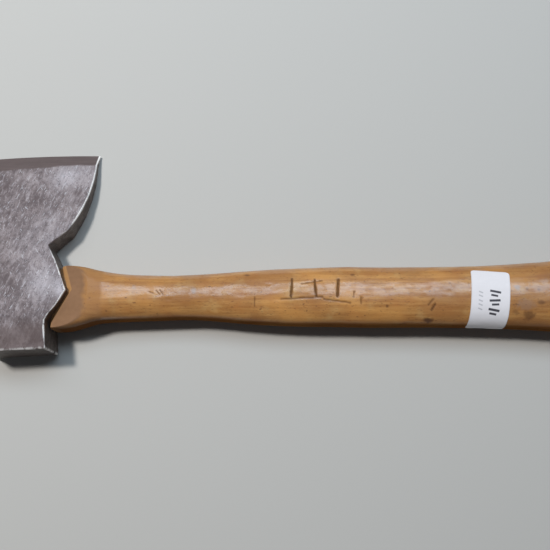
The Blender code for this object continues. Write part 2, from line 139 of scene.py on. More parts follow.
# Label
LABEL_X, LABEL_START_Y = 263.8, 13.8
LABEL_WIDTH, LABEL_LENGTH, LABEL_CORNER, LABEL_TURN = 21.2, 38.1, 2.0, math.radians(5.4)
LABEL_LIFT, LABEL_THICKNESS, LABEL_SINK = 0.05, 0.12, -0.05
LABEL_COLUMNS, LABEL_ROWS = 44, 78
TANGENT_STEP, WRAP_STEPS = 0.004, 900

CHEEK_SLOPE = (CHEEK_HALF_THICKNESS - BEVEL_HALF_THICKNESS) / (BEVEL_Y - CHEEK_Y)
CHEEK_ANGLE = math.atan(CHEEK_SLOPE)
EYE_HEIGHT = (CHEEK_HALF_THICKNESS + CHEEK_SLOPE * CHEEK_Y) * math.cos(CHEEK_ANGLE)

# Notches, scored lines and ticks in the top of the haft, placed so that they form no letter:
# (x0, y0, x1, y1, width, depth), in millimetres seen from above
CUTS = (
    (154.5, 9.6, 153.9, -0.4, 1.7, 0.6),
    (167.2, 9.2, 167.7, -0.4, 1.6, 0.55),
    (159.6, 6.9, 171.4, 8.7, 0.8, 0.22),
    (148.2, -1.9, 171.3, -0.7, 1.1, 0.22),
    (180.4, 9.4, 179.6, -0.4, 2.0, 0.65),
    (172.4, -2.0, 186.4, -3.9, 1.1, 0.22),
    (133.8, -1.0, 133.6, -5.8, 0.8, 0.2),
    (189.0, 2.4, 188.4, -0.8, 0.9, 0.28),
    (192.6, -0.9, 192.5, -4.3, 1.1, 0.35),
    (232.5, -1.9, 229.6, -5.2, 0.9, 0.28),
    (233.4, -4.7, 231.4, -8.0, 1.3, 0.4),
    (74.4, 2.6, 77.0, 1.6, 0.7, 0.14),
    (78.4, 3.4, 80.6, 1.0, 0.7, 0.14),
    (80.6, 3.6, 82.6, 0.8, 0.7, 0.14),
)

# Stains on the top of the haft: (x, y, half-length along the haft, half-width, darkness)
STAINS = (
    (229.8, -13.4, 2.7, 1.35, 1.0),
    (128.8, 12.4, 1.7, 0.6, 0.7),
    (206.9, -5.8, 0.8, 0.7, 0.8),
    (188.4, 12.2, 1.3, 0.6, 0.7),
    (215.7, 9.9, 0.9, 0.4, 0.6),
    (242.3, 7.1, 0.8, 0.5, 0.55),
    (241.6, 3.4, 1.8, 0.35, 0.4),
    (220.0, 4.2, 3.5, 0.3, 0.35),
    (233.2, 3.2, 0.8, 0.6, 0.4),
    (284.5, 3.5, 0.9, 0.7, 0.6),
    (290.8, 3.3, 0.8, 0.8, 0.55),
    (291.6, -3.9, 2.0, 1.2, 0.6),
    (284.8, -10.9, 3.2, 2.4, 0.65),
    (277.5, -9.4, 1.8, 1.3, 0.4),
    (275.8, 2.6, 0.6, 0.6, 0.45),
    (252.5, 6.4, 0.35, 1.6, 0.35),
    (69.0, -15.0, 0.6, 0.6, 0.6),
    (55.8, -13.6, 0.7, 0.7, 0.6),
)

# Grey smudges, given in the same way
SMUDGES = (
    (279.2, 4.4, 1.6, 1.5, 0.8),
    (283.0, -5.0, 5.0, 3.0, 0.3),
    (99.4, 3.4, 1.4, 2.0, 0.6),
    (66.0, 5.0, 1.3, 1.4, 0.4),
)

# Broad patches of the head's patina, and over the ear a painted reflection of the light: (x, y, half-width,
# half-height, how much lighter, below 0 darker)
PATINA_AND_SHEEN = (
    (23.0, 74.0, 8.0, 7.5, 1.0),
    (36.0, 74.0, 7.0, 6.0, 0.35),
    # These three bright patches over the ear are painted reflection of the light
    (14.5, 6.0, 8.0, 9.0, 0.9),
    (24.0, 3.0, 4.0, 6.0, 0.5),
    (25.0, 0.5, 2.2, 3.2, 0.6),
    (14.0, 34.0, 16.0, 16.0, 0.3),
    (1.5, 57.0, 11.0, 5.5, -0.55),
    (-17.0, 64.0, 7.0, 22.0, -0.5),
    (30.0, 56.0, 9.0, 5.0, -0.3),
    (10.0, -12.0, 16.0, 4.0, -0.35),
    (-14.0, 20.0, 6.0, 22.0, -0.35),
)

# Wear. Waves are (height, size of lump, seed); dents are drawn evenly from these ranges
WAVE_COUNT, WAVE_SPREAD = 20, (0.7, 1.6)
HEAD_SWELL, HEAD_RIPPLES = (0.07, 14.0, 1), ((0.035, 5.0, 2), (0.018, 2.2, 3))
KEEN_WIDTH, WEAR_AT_EDGE = 10.0, 0.25  # the head's wear fades over this width to this share at the edge
HEAD_DENTS, HEAD_DENT_X, HEAD_DENT_Y = 90, (-38, 38), (-28, 78)
HEAD_DENT_RADIUS, HEAD_DENT_DEPTH = (0.7, 2.4), (0.03, 0.12)
HAFT_SWELLS = (((0.5, 1, 1), 0.09, 16.0, 11), ((0.3, 1, 1), 0.018, 3.0, 12))  # (squash, then as above)
SWELLS_START, CUT_MIN_Z = (34.0, 46.0), 3.0
HAFT_DENTS, HAFT_DENT_X, HAFT_DENT_TURN = 70, (50, 325), (0, 2 * np.pi)
HAFT_DENT_RADIUS, HAFT_DENT_DEPTH, HAFT_DENT_SQUASH = (0.6, 1.8), (0.04, 0.16), (0.6, 1, 1)
CREASE_HEIGHT, CREASE_SIZE, CREASE_SEED = 0.025, 7.0, 31

# The head's masks: brightness by y of the painted highlight on its worn edges, higher where the edges catch
# the light, widths of wear, and where each mask is 0 and 1
EDGE_HIGHLIGHT_BRIGHTNESS = ((-32, -17, -13, 0, 12, 26, 30, 34, 44), (0.8, 0.85, 1.0, 1.0, 0.9, 0.6, 0.15, 0.5, 1.0))
EDGE_WEAR_WIDTH, POLL_WEAR_WIDTH, POLL_WEAR = 0.75, 1.8, 0.46
EYE_MOUTH_REACH, EYE_MOUTH_DEPTH = 1.08, 1.0
WALL_BLUR, GROUND_BLUR = (0.5, 1.2), (-0.3, 0.3)

# The haft's masks: where each is 0 and 1
RAGGED, RAGGED_SIZE, RAGGED_SEED = 0.5, 3.5, 15
PLANED_BLUR, PLANED_END = (-0.9, -0.15), (PLANED_START_X + 0.5, PLANED_START_X - 3.5)
SHOULDER_BLUR, CHAMFER_BLUR, CHAMFER_END = (-0.2, 0.2), (-0.3, 0.3), (0.35, -0.1)
# The V chamfer is painted lighter, as worn bare wood with a painted highlight: in full on the side towards
# the light, at this share on the far side
CHAMFER_SHADED_SIDE_SHARE, CHAMFER_LIT_SIDE, INSIDE_BLUR = 0.35, (0.0, 4.0), (0.2, -0.4)
HANDLED_RAGGED, HANDLED_END = 0.5, (49.5, 46.5)
# The low mask is painted shade: darker on the haft's underside and on its side towards the poll, away from
# the light
UNDERSIDE_SHADE_HEIGHT, UNDERSIDE_SHADE_SIDES, UNDERSIDE_SHADE_START = (0.66, 0.34), (0.0, -6.0), (0.5, 4.0)
# Darker towards the neck and the knob: (x along the haft, share)
HAFT_DARKENING = ((30, 60, 95, 150, 215, 250, 300, 330), (0.6, 0.5, 0.35, 0.0, 0.0, 0.35, 0.85, 1.0))
TOP_MIN_Z = 13.0  # above this, in the row frame, cuts and stains show

# Print on the label: (across, down, length, width, lean) of each stroke
STROKE_BLUR = 0.12
STROKES = (
    (2.6, 12.6, 6.0, 1.25, 0.10),
    (2.1, 14.8, 3.8, 1.10, 0.10),
    (2.4, 17.6, 6.0, 1.25, -0.12),
    (2.8, 19.8, 4.0, 1.15, -0.12),
    (2.2, 22.9, 6.1, 1.35, 0.10),
    (1.8, 25.1, 3.9, 1.20, 0.10),
)
FAINT_STROKES = tuple((-5.4, down, 2.4, 0.8, 0.3) for down in (13.6, 15.7, 18.4, 20.6, 23.0))

# Studio and camera, in metres
FLOOR_GAP, FLOOR_REACH = 0.00005, 4.0
CAMERA_PLACE, CAMERA_LEAN = (0.144918, -0.051331, 0.380470), math.radians(10.0)
CAMERA_LENS, CAMERA_SENSOR, CAMERA_NEAR = 42.545, 36.0, 0.01  # lens and sensor in millimetres


def straight_runs(values, corners):
    """Linear interpolation through (position, value) corners."""
    positions, heights = zip(*corners)
    return np.interp(values, positions, heights)


def head_half_width(y):
    """Half the head's width along the haft at y."""
    y = np.asarray(y, float)
    along = np.clip((y - EAR_TIP_Y) / (NOTCH_Y - EAR_TIP_Y), 0.0, 1.0)
    ear = EAR_TIP_HALF_WIDTH + (NOTCH_HALF_WIDTH - EAR_TIP_HALF_WIDTH) * along
    ear = ear + EAR_BOW * 4.0 * along * (1.0 - along)
    flare_y = np.clip(y, FLARE_Y, BEVEL_Y)
    flare = np.sqrt(FLARE_RADIUS**2 - (flare_y - FLARE_CENTRE_Y) ** 2) + FLARE_CENTRE_X
    into_flare = np.clip((y - NOTCH_Y) / (FLARE_Y - NOTCH_Y), 0.0, 1.0)
    on_bevel = np.clip((y - BEVEL_Y) / (EDGE_Y - BEVEL_Y), 0.0, 1.0)
    blade = NOTCH_HALF_WIDTH + (flare - NOTCH_HALF_WIDTH) * into_flare
    blade = blade + (EDGE_HALF_LENGTH - flare) * on_bevel
    low = straight_runs(y, OUTLINE_BELOW_EAR)
    return np.where(y <= EAR_TIP_Y, low, np.where(y <= NOTCH_Y, ear, blade))


def head_half_thickness(y):
    """Half the head's thickness at y, with the faces carried on past the bevel up to the edge."""
    face_at_edge = BEVEL_HALF_THICKNESS - CHEEK_SLOPE * (EDGE_Y - BEVEL_Y)
    corners = ((POLL_Y, POLL_HALF_THICKNESS), (CHEEK_Y, CHEEK_HALF_THICKNESS), (EDGE_Y, face_at_edge))
    return straight_runs(y, corners)


def bevel_share(x, y):
    """How much of the face's thickness the ground bevel leaves, and how far the point is from it."""
    edge_y = EDGE_Y - EDGE_SAG * (x / EDGE_HALF_LENGTH) ** 2
    width = EDGE_Y - BEVEL_Y - BEVEL_SKEW * x
    for height, length, phase in GRIND_WAVES:
        width = width + height * np.sin(x / length + phase)
    left = EDGE_HALF_THICKNESS + (BEVEL_HALF_THICKNESS - EDGE_HALF_THICKNESS) * (edge_y - y) / width
    share = np.clip(left, EDGE_HALF_THICKNESS, None) / head_half_thickness(y)
    return np.minimum(share, 1.0), edge_y - y - width


def superellipse(angle, roundness):
    """(across, up) on a superellipse of unit size."""
    c = np.cos(angle)
    up = np.clip(1.0 - np.abs(c) ** roundness, 0.0, 1.0) ** (1.0 / roundness)
    return c, np.copysign(up, np.sin(angle))


def turned(points, axis, angle):
    """Points, shaped (..., 3), turned about an axis through the origin."""
    return points @ np.array(Matrix.Rotation(angle, 3, axis)).T


def waves(points, size, seed):
    """Smooth random heights with unit spread and lumps about this size, from seeded plane waves."""
    draw = np.random.default_rng(SEED + seed)
    ways = draw.normal(size=(WAVE_COUNT, 3))
    ways /= np.linalg.norm(ways, axis=1, keepdims=True)
    ways *= 2 * np.pi / (size * draw.uniform(*WAVE_SPREAD, (WAVE_COUNT, 1)))
    phases = draw.uniform(0, 2 * np.pi, WAVE_COUNT)
    total = np.zeros(points.shape[:-1])
    for way, phase in zip(ways, phases):
        total += np.sin(points @ way + phase)
    return total * math.sqrt(2.0 / WAVE_COUNT)


def smooth_step(value, start, end):
    """0 at start, 1 at end, smooth between them. start may be above end."""
    t = np.clip((value - start) / (end - start), 0.0, 1.0)
    return t * t * (3.0 - 2.0 * t)


def grid_normals(grid):
    """Outward unit normals of a skin of rings, shaped (rings, around, 3)."""
    around = np.roll(grid, -1, axis=1) - np.roll(grid, 1, axis=1)
    along = np.gradient(grid, axis=0)
    normals = np.cross(around, along)
    normals /= np.maximum(np.linalg.norm(normals, axis=2, keepdims=True), 1e-12)
    outward = grid - grid.mean(axis=1, keepdims=True)
    return normals * np.sign(np.sum(normals * outward))


def new_mesh(name, points, faces):
    """A mesh in metres from points in millimetres."""
    mesh = bpy.data.meshes.new(name)
    mesh.from_pydata((points * MM).tolist(), [], faces)
    return mesh


def new_object(name, data):
    thing = bpy.data.objects.new(name, data)
    bpy.context.scene.collection.objects.link(thing)
    return thing


def ring_faces(grid):
    """(each point's index, the next one's round its ring, the quads between the rings)."""
    rings, around, _ = grid.shape
    index = np.arange(rings * around).reshape(rings, around)
    following = np.roll(index, -1, axis=1)
    faces = np.stack([index[:-1], following[:-1], following[1:], index[1:]], axis=-1)
    return index, following, faces.reshape(-1, 4).tolist()


def skin_mesh(name, grid, strip_end=False):
    """A closed mesh of a skin of rings, in metres. Each end is closed by a fan to its middle, or the
    last by a strip of quads between its two halves, as a knife's edge is."""
    index, following, faces = ring_faces(grid)
    count, around = index.size, index.shape[1]
    points = [grid.reshape(-1, 3), grid[0].mean(axis=0)[None]]
    faces += [(count, b, a) for a, b in zip(index[0], following[0])]
    if strip_end:
        last = index[-1]
        for i in range(around // 2):
            quad = (last[i], last[i + 1], last[around - 1 - i], last[(around - i) % around])
            faces.append(tuple(dict.fromkeys(quad)))
    else:
        points.append(grid[-1].mean(axis=0)[None])
        faces += [(count + 1, a, b) for a, b in zip(index[-1], following[-1])]
    return new_mesh(name, np.concatenate(points), faces)


def lay_down(mesh, in_head_frame=False):
    """Moves a mesh from the tool frame, or the head's, to where the axe lies in the row frame."""
    place = Matrix.Translation(rest_face["pos_m"]) @ Matrix.Translation((0, 0, EYE_HEIGHT * MM))
    place = place @ Matrix.Rotation(-CHEEK_ANGLE, 4, "X")
    if in_head_frame:
        place = place @ Matrix.Rotation(HANG_ANGLE, 4, "Z")
    mesh.transform(place)


def vertex_positions(mesh):
    flat = np.zeros(len(mesh.vertices) * 3)
    mesh.vertices.foreach_get("co", flat)
    return flat.reshape(-1, 3)


def face_outwards(mesh):
    """Turns a closed mesh's faces outwards, when the volume they enclose comes out negative."""
    mesh.calc_loop_triangles()
    corners = np.zeros(len(mesh.loop_triangles) * 3, int)
    mesh.loop_triangles.foreach_get("vertices", corners)
    points = vertex_positions(mesh)[corners].reshape(-1, 3, 3)
    if np.sum(np.cross(points[:, 0], points[:, 1]) * points[:, 2]) < 0:
        mesh.flip_normals()


def store(mesh, name, values):
    """Keeps one number for each vertex, for the materials to read."""
    attribute = mesh.attributes.new(name, "FLOAT", "POINT")
    attribute.data.foreach_set("value", np.ascontiguousarray(values, np.float32))


def cut_away(mesh, *cutters):
    """The mesh less the cutters' volumes."""
    body = new_object("to_cut", mesh)
    tools = []
    for cutter in cutters:
        tool = new_object("cutter", cutter)
        boolean = body.modifiers.new("cut", "BOOLEAN")
        boolean.operation = "DIFFERENCE"
        boolean.solver = "EXACT"
        boolean.object = tool
        tools.append(tool)
    evaluated = body.evaluated_get(bpy.context.evaluated_depsgraph_get())
    result = bpy.data.meshes.new_from_object(evaluated)
    for used in (body, *tools):
        bpy.data.objects.remove(used)
    return result


def add_piece(name, mesh, node, material, smooth_angle):
    """Shows a finished mesh in place of a CAD node."""
    mesh.name = name
    mesh.materials.clear()
    mesh.materials.append(material)
    mesh.shade_smooth()
    mesh.set_sharp_from_angle(angle=math.radians(smooth_angle))
    piece = new_object(name, mesh)
    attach(piece, "root")
    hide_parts(node)


# ---- head


def head_ring(y, inset):
    """One ring round the head at y, drawn in by inset, from the middle of its +X side."""
    half_x = head_half_width(y) - inset
    half_z = head_half_thickness(y) - inset
    radius = min(HEAD_CORNER, CORNER_LIMIT * half_z)
    side = np.linspace(0.0, half_z - radius, SIDE_COLUMNS // 2, endpoint=False)
    bend = np.linspace(0.0, np.pi / 2, CORNER_COLUMNS, endpoint=False)
    face = np.linspace(half_x - radius, 0.0, FACE_COLUMNS // 2, endpoint=False)
    xs = np.concatenate([np.full_like(side, half_x), half_x - radius + radius * np.cos(bend), face])
    zs = np.concatenate([side, half_z - radius + radius * np.sin(bend), np.full_like(face, half_z)])
    quarter = np.stack([xs, zs], axis=1)
    left = np.concatenate([[(0.0, half_z)], quarter[:0:-1]]) * (-1, 1)
    upper = np.concatenate([quarter, left])
    ring = np.concatenate([upper, upper * (-1, -1)])
    sag = np.clip((y - BEVEL_Y) / (EDGE_Y - BEVEL_Y), 0.0, 1.0) * EDGE_SAG
    return np.stack([ring[:, 0], y - sag * (ring[:, 0] / EDGE_HALF_LENGTH) ** 2, ring[:, 1]], axis=1)


def head_skin():
    """The head's skin before wear: rings from the middle of the poll's end face up to the edge."""
    rings = []
    for share in np.linspace(CAP_START, 1.0, CAP_RINGS):
        rings.append(head_ring(POLL_Y, HEAD_CORNER) * (share, 1, share))
    for turn in np.linspace(0, np.pi / 2, CORNER_RINGS + 1)[1:]:
        y = POLL_Y + HEAD_CORNER * (1 - np.cos(turn))
        rings.append(head_ring(y, HEAD_CORNER * (1 - np.sin(turn))))
    body = np.arange(POLL_Y + HEAD_CORNER, EDGE_Y, HEAD_RING_STEP)[1:]
    for y in (*body, EDGE_Y):
        rings.append(head_ring(y, 0.0))
    rings = np.array(rings)
    rings[..., 2] *= bevel_share(rings[..., 0], rings[..., 1])[0]
    return rings


def head_wear(grid):
    """How far each point of the head's skin stands out of the true form: forging marks and dents."""
    y = grid[..., 1]
    off_edge = smooth_step(EDGE_Y - y, 0.0, KEEN_WIDTH)
    amount, size, seed = HEAD_SWELL
    height = amount * waves(grid, size, seed)
    for amount, size, seed in HEAD_RIPPLES:
        height = height + amount * waves(grid, size, seed) * off_edge
    draw = np.random.default_rng(SEED)
    for _ in range(HEAD_DENTS):
        centre = (draw.uniform(*HEAD_DENT_X), draw.uniform(*HEAD_DENT_Y))
        side = draw.choice((-1, 1))
        radius = draw.uniform(*HEAD_DENT_RADIUS)
        depth = draw.uniform(*HEAD_DENT_DEPTH)
        away = np.hypot(grid[..., 0] - centre[0], y - centre[1])
        height -= depth * np.exp(-((away / radius) ** 2)) * (grid[..., 2] * side > 0)
    height = height * np.where(off_edge > 0, WEAR_AT_EDGE + (1 - WEAR_AT_EDGE) * off_edge, 0.0)
    # Nothing stands out of the lower side, because the head lies flat on it
    return np.where(grid[..., 2] < 0, np.minimum(height, 0.0), height)


def eye_cutter():
    """The eye's volume, longer than the head is wide."""
    angles = np.linspace(0, 2 * np.pi, EYE_SIDES, endpoint=False)
    c, s = superellipse(angles, EYE_ROUNDNESS)
    rings = []
    for x in np.linspace(-EYE_REACH, EYE_REACH, EYE_RINGS):
        y = (EYE_HALF_LENGTH - EYE_LENGTH_TAPER * x) * c
        z = (EYE_HALF_WIDTH - EYE_WIDTH_TAPER * x) * s
        rings.append(np.stack([np.full_like(y, x), y, z], axis=1))
    return np.array(rings)


def make_head(material):
    grid = head_skin()
    grid = grid + grid_normals(grid) * head_wear(grid)[..., None]
    skin = skin_mesh("head_skin", grid, strip_end=True)
    eye = skin_mesh("eye", eye_cutter())
    face_outwards(skin)
    face_outwards(eye)
    mesh = cut_away(skin, eye)
    x, y, z = (vertex_positions(mesh) / MM).T
    from_side = head_half_width(y) - np.abs(x)
    thinned, off_bevel = bevel_share(x, y)
    from_face = head_half_thickness(y) * thinned - np.abs(z)
    by_eye = np.hypot(y / EYE_HALF_LENGTH, z / EYE_HALF_WIDTH) < EYE_MOUTH_REACH
    inside_eye = by_eye & (from_face > EYE_MOUTH_DEPTH)
    # Worn edges along the outline and the poll, which the steel shows as a painted highlight
    bright = np.interp(y, *EDGE_HIGHLIGHT_BRIGHTNESS)
    edge = bright * np.exp(-((np.maximum(from_side, from_face) / EDGE_WEAR_WIDTH) ** 2))
    from_poll_edge = np.maximum(np.minimum(from_side, from_face), y - POLL_Y)
    poll_edge = POLL_WEAR * np.exp(-((from_poll_edge / POLL_WEAR_WIDTH) ** 2))
    store(mesh, "edge", np.maximum(edge, poll_edge) * ~inside_eye)
    # The side walls, which the steel paints dark as shade
    store(mesh, "shaded_wall", smooth_step(from_face, *WALL_BLUR))
    store(mesh, "along", y)
    patina_and_sheen = np.zeros_like(x)
    for at_x, at_y, half_width, half_height, amount in PATINA_AND_SHEEN:
        spread = -(((x - at_x) / half_width) ** 2) - ((y - at_y) / half_height) ** 2
        patina_and_sheen += amount * np.exp(spread) * (z > 0)
    store(mesh, "patina_and_sheen", patina_and_sheen)
    store(mesh, "ground", smooth_step(-off_bevel, *GROUND_BLUR))
    lay_down(mesh, in_head_frame=True)
    add_piece("axe_head_worn", mesh, "axe_head", material, smooth_angle=60.0)


# ---- haft


def haft_profile(x):
    """Half-width to the edge, half-width to the poll, half-thickness and roundness at each x."""
    rows = HAFT_STATIONS
    x = np.clip(np.asarray(x, float), rows[0, 0], rows[-1, 0])
    i = np.clip(np.searchsorted(rows[:, 0], x) - 1, 0, len(rows) - 2)
    here, there = rows[i], rows[i + 1]
    before, after = rows[np.maximum(i - 1, 0)], rows[np.minimum(i + 2, len(rows) - 1)]
    span = (there - here)[..., :1]
    t = ((x - here[..., 0]) / span[..., 0])[..., None]
    slope_here = (there - before) / (there - before)[..., :1] * span
    slope_there = (after - here) / (after - here)[..., :1] * span
    values = here * (2 * t**3 - 3 * t**2 + 1) + slope_here * (t**3 - 2 * t**2 + t)
    values = values + there * (3 * t**2 - 2 * t**3) + slope_there * (t**3 - t**2)
    return values[..., 1], values[..., 2], values[..., 3], values[..., 4]


def haft_section(x, angle):
    """(y, z) on the haft's skin at x, before its centreline rises."""
    to_edge, to_poll, half_thickness, roundness = haft_profile(x)
    c, s = superellipse(angle, roundness)
    dome = np.clip((x - DOME_X) / (HAFT_END_X - DOME_X), 0.0, 1.0)
    shrink = (1.0 - dome**DOME_POWER) ** (1.0 / DOME_POWER)
    y = np.where(c > 0, to_edge, to_poll) * c * shrink
    z = half_thickness * s * shrink
    planed = PLANED_HALF_THICKNESS - PLANED_SLOPE * np.maximum(PLANED_START_X - x, 0.0)
    planed = np.where(x < PLANED_START_X, planed, NOT_PLANED)
    return y, np.clip(z, -planed, planed)


def haft_rise():
    """How far the centreline rises at the knob, so that the knob touches what the axe lies on."""
    y, z = haft_section(np.full(720, KNOB_X), np.linspace(0, 2 * np.pi, 720))
    drop = np.max(y * math.sin(CHEEK_ANGLE) - z * math.cos(CHEEK_ANGLE))
    return (drop - EYE_HEIGHT) / math.cos(CHEEK_ANGLE)


RISE = haft_rise()


def haft_point(x, angle):
    """A point on the haft's skin in the tool frame."""
    x = np.broadcast_to(x, np.shape(angle)) if np.ndim(x) == 0 else x
    y, z = haft_section(x, angle)
    return np.stack([x, y, z + RISE * x / KNOB_X], axis=-1)


def tenon_point(x, angle):
    """A point on the tenon, turned from the head's frame into the tool frame."""
    c, s = superellipse(angle, EYE_ROUNDNESS)
    y = (EYE_HALF_LENGTH - EYE_LENGTH_TAPER * x - FIT_GAP) * c
    z = (EYE_HALF_WIDTH - EYE_WIDTH_TAPER * x - FIT_GAP) * s
    return turned(np.stack([x + 0.0 * y, y, z], axis=-1), "Z", HANG_ANGLE)


def haft_skin():
    """The haft's skin: end of the tenon, tenon, V shoulder, planed cheeks, grip and knob."""
    angles = np.linspace(0, 2 * np.pi, HAFT_SIDES, endpoint=False)
    shoulder_y = haft_section(np.full_like(angles, SHOULDER_TIP_X), angles)[0]
    start = straight_runs(shoulder_y, SHOULDER_LINE)
    root_y = (EYE_HALF_LENGTH - FIT_GAP) * superellipse(angles, EYE_ROUNDNESS)[0]
    root = (straight_runs(shoulder_y, CHAMFER_FOOT) + root_y * math.sin(HANG_ANGLE)) / math.cos(HANG_ANGLE)
    rings = []
    tenon_end = tenon_point(TENON_END_X, angles)
    middle = tenon_end.mean(axis=0)
    for share in np.linspace(*TENON_CAP_SHARES, TENON_CAP_RINGS):
        rings.append(middle + (tenon_end - middle) * share - (TENON_BULGE * (1 - share**2), 0, 0))
    from_x = TENON_END_X + TENON_SETBACK
    for share in np.linspace(0.0, 1.0, TENON_RINGS, endpoint=False):
        rings.append(tenon_point(from_x + (root - from_x) * share, angles))
    inner = tenon_point(root, angles)
    outer = haft_point(start, angles)
    foot = np.stack([inner[:, 0], outer[:, 1] * CHAMFER_DRAW_IN, outer[:, 2] * CHAMFER_DROP], axis=1)
    for share in np.linspace(0.0, 1.0, STEP_RINGS, endpoint=False):
        rings.append(inner + (foot - inner) * share)
    for share in np.linspace(0.0, 1.0, STEP_RINGS):
        rounding = CHAMFER_ROUNDING * (4.0 * abs(share - 0.5) ** 2)
        rings.append(foot + (outer - foot) * share - outward_of(outer) * rounding)
    for share in np.linspace(0.0, 1.0, SHOULDER_RINGS, endpoint=False)[1:]:
        rings.append(haft_point(start + (BODY_START_X - start) * share, angles))
    for x in np.arange(BODY_START_X, DOME_X, HAFT_RING_STEP):
        rings.append(haft_point(x, angles))
    for turn in np.linspace(0.0, np.pi / 2, DOME_RINGS, endpoint=False):
        rings.append(haft_point(DOME_X + (HAFT_END_X - DOME_X) * math.sin(turn), angles))
    return np.array(rings)


def outward_of(ring):
    """Unit directions from a ring's middle to its points, square to the haft."""
    away = (ring - ring.mean(axis=0)) * (0, 1, 1)
    return away / np.linalg.norm(away, axis=1, keepdims=True)


def distance_to_stroke(x, y, stroke):
    """(distance to the stroke's line, how far along it from 0 to 1), seen from above."""
    x0, y0, x1, y1 = stroke
    length = math.hypot(x1 - x0, y1 - y0)
    along = ((x - x0) * (x1 - x0) + (y - y0) * (y1 - y0)) / length**2
    nearest = np.clip(along, 0.0, 1.0)
    away = np.hypot(x - x0 - nearest * (x1 - x0), y - y0 - nearest * (y1 - y0))
    return away, nearest


def cut_depths(x, y):
    """(depth, dirt) of the knife cuts at points seen from above."""
    depth = np.zeros_like(x)
    dirt = np.zeros_like(x)
    for *stroke, width, deepest in CUTS:
        away, along = distance_to_stroke(x, y, stroke)
        taper = 0.45 + 0.55 * np.sin(np.pi * np.clip(along, 0.05, 0.95))
        groove = np.clip(1.0 - away / (0.5 * width + 0.2), 0.0, 1.0)
        depth += deepest * taper * groove
        dirt = np.maximum(dirt, smooth_step(groove, 0.05, 0.55) * min(1.0, 0.55 + deepest))
    return depth, dirt


def spot_shade(x, y, spots, seed):
    """How dark the soft-edged spots are at points seen from above, from 0 to 1."""
    ragged = 0.13 * waves(np.stack([x, y, 0 * x], axis=-1), 2.2, seed)
    shade = np.zeros_like(x)
    for at_x, at_y, half_length, half_width, darkness in spots:
        away = np.hypot((x - at_x) / half_length, (y - at_y) / half_width)
        shade = np.maximum(shade, darkness * smooth_step(away + ragged, 1.35, 0.6))
    return shade


def haft_wear(grid):
    """How far the haft's skin stands out of its true form: hand-shaped swells, cuts and dents."""
    world = turned(grid, "X", -CHEEK_ANGLE)
    x, y, z = world[..., 0], world[..., 1], world[..., 2]
    on_body = smooth_step(x, *SWELLS_START)
    swells = sum(amount * waves(grid * squash, size, seed) for squash, amount, size, seed in HAFT_SWELLS)
    height = on_body * swells - cut_depths(x, y)[0] * (z > CUT_MIN_Z)
    draw = np.random.default_rng(SEED + 5)
    for _ in range(HAFT_DENTS):
        at_x, turn = draw.uniform(*HAFT_DENT_X), draw.uniform(*HAFT_DENT_TURN)
        centre = haft_point(at_x, np.array(turn))
        radius, depth = draw.uniform(*HAFT_DENT_RADIUS), draw.uniform(*HAFT_DENT_DEPTH)
        away = np.linalg.norm((grid - centre) * HAFT_DENT_SQUASH, axis=-1)
        height = height - depth * np.exp(-((away / radius) ** 2))
    return height


def haft_masks(x, y, z):
    """How much each kind of surface shows at points in the tool frame, by the name a material reads."""
    lift = z - RISE * x / KNOB_X
    planed_z = PLANED_HALF_THICKNESS - PLANED_SLOPE * (PLANED_START_X - x)
    from_shoulder = x - straight_runs(y, SHOULDER_LINE)
    from_foot = x - straight_runs(y, CHAMFER_FOOT)
    ragged = RAGGED * waves(np.stack([x, y, z], axis=-1), RAGGED_SIZE, RAGGED_SEED)
    on_planed = smooth_step(np.abs(lift) - planed_z, *PLANED_BLUR) * smooth_step(x + ragged, *PLANED_END)
    on_chamfer = smooth_step(from_foot, *CHAMFER_BLUR) * smooth_step(from_shoulder, *CHAMFER_END)
    # Painted shade on the underside and on the side towards the poll, away from the light
    low = smooth_step(lift / haft_profile(x)[2], *UNDERSIDE_SHADE_HEIGHT) * smooth_step(y, *UNDERSIDE_SHADE_SIDES)
    return {
        "planed": on_planed * smooth_step(from_shoulder, *SHOULDER_BLUR),
        "chamfer_highlight_and_wear": on_chamfer * (CHAMFER_SHADED_SIDE_SHARE + (1 - CHAMFER_SHADED_SIDE_SHARE) * smooth_step(y, *CHAMFER_LIT_SIDE)),
        "inside": smooth_step(from_foot, *INSIDE_BLUR),
        "handled": smooth_step(x + HANDLED_RAGGED * ragged, *HANDLED_END),
        "low": low * smooth_step(from_shoulder, *UNDERSIDE_SHADE_START),
        "darkening": np.interp(x, *HAFT_DARKENING),
    }


def make_haft(material):
    grid = haft_skin()
    grid = grid + grid_normals(grid) * haft_wear(grid)[..., None]
    mesh = skin_mesh("haft_skin", grid)
    face_outwards(mesh)
    kerf_end, kerf_half_length = TENON_END_X - KERF_PAST_END, EYE_HALF_LENGTH + KERF_PAST_SIDES
    kerf = wedge_mesh("kerf", kerf_end, KERF_DEPTH_X, kerf_half_length, KERF_HALF_AT_END, KERF_HALF_AT_ROOT)
    slots = [steel_wedge_mesh("slot", side, FIT_GAP) for side in (1, -1)]
    for cutter in (kerf, *slots):
        cutter.transform(Matrix.Rotation(HANG_ANGLE, 4, "Z"))
    mesh = cut_away(mesh, kerf, *slots)
    for name, values in haft_masks(*(vertex_positions(mesh) / MM).T).items():
        store(mesh, name, values)
    lay_down(mesh)
    x, y, z = (vertex_positions(mesh) / MM).T
    on_top = z > TOP_MIN_Z
    store(mesh, "cut", cut_depths(x, y)[1] * on_top)
    store(mesh, "stain", spot_shade(x, y, STAINS, 21) * on_top)
    store(mesh, "smudge", spot_shade(x, y, SMUDGES, 22) * on_top)
    add_piece("haft_varnished", mesh, "haft", material, smooth_angle=38.0)


# ---- wedges


